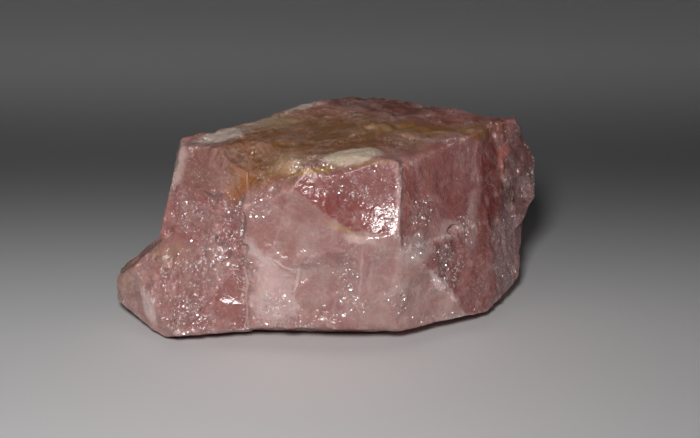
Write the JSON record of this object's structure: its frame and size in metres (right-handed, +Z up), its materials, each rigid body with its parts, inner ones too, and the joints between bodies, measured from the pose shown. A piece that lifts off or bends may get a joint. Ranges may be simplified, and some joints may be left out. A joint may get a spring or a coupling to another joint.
{
  "type": "rose quartz chunk",
  "caption": "Rough chunk of rose quartz, longer than it is wide or high, with irregular fracture faces and low steps, lying on its widest flat break.",
  "frame": {"origin": "on the resting face, under the middle of the stone's box", "axes": "+Z up, +X along the stone's length, -Y towards the lit front side with the large fracture faces"},
  "size_m": [0.11, 0.0556, 0.0501],
  "materials": {
    "rose_quartz": "raw conchoidal fracture faces, glassy to frosted, milky pink with iron stain on top"
  },
  "bodies": {
    "root": {"rose_quartz_chunk": "rose_quartz"}
  },
  "joints": []
}
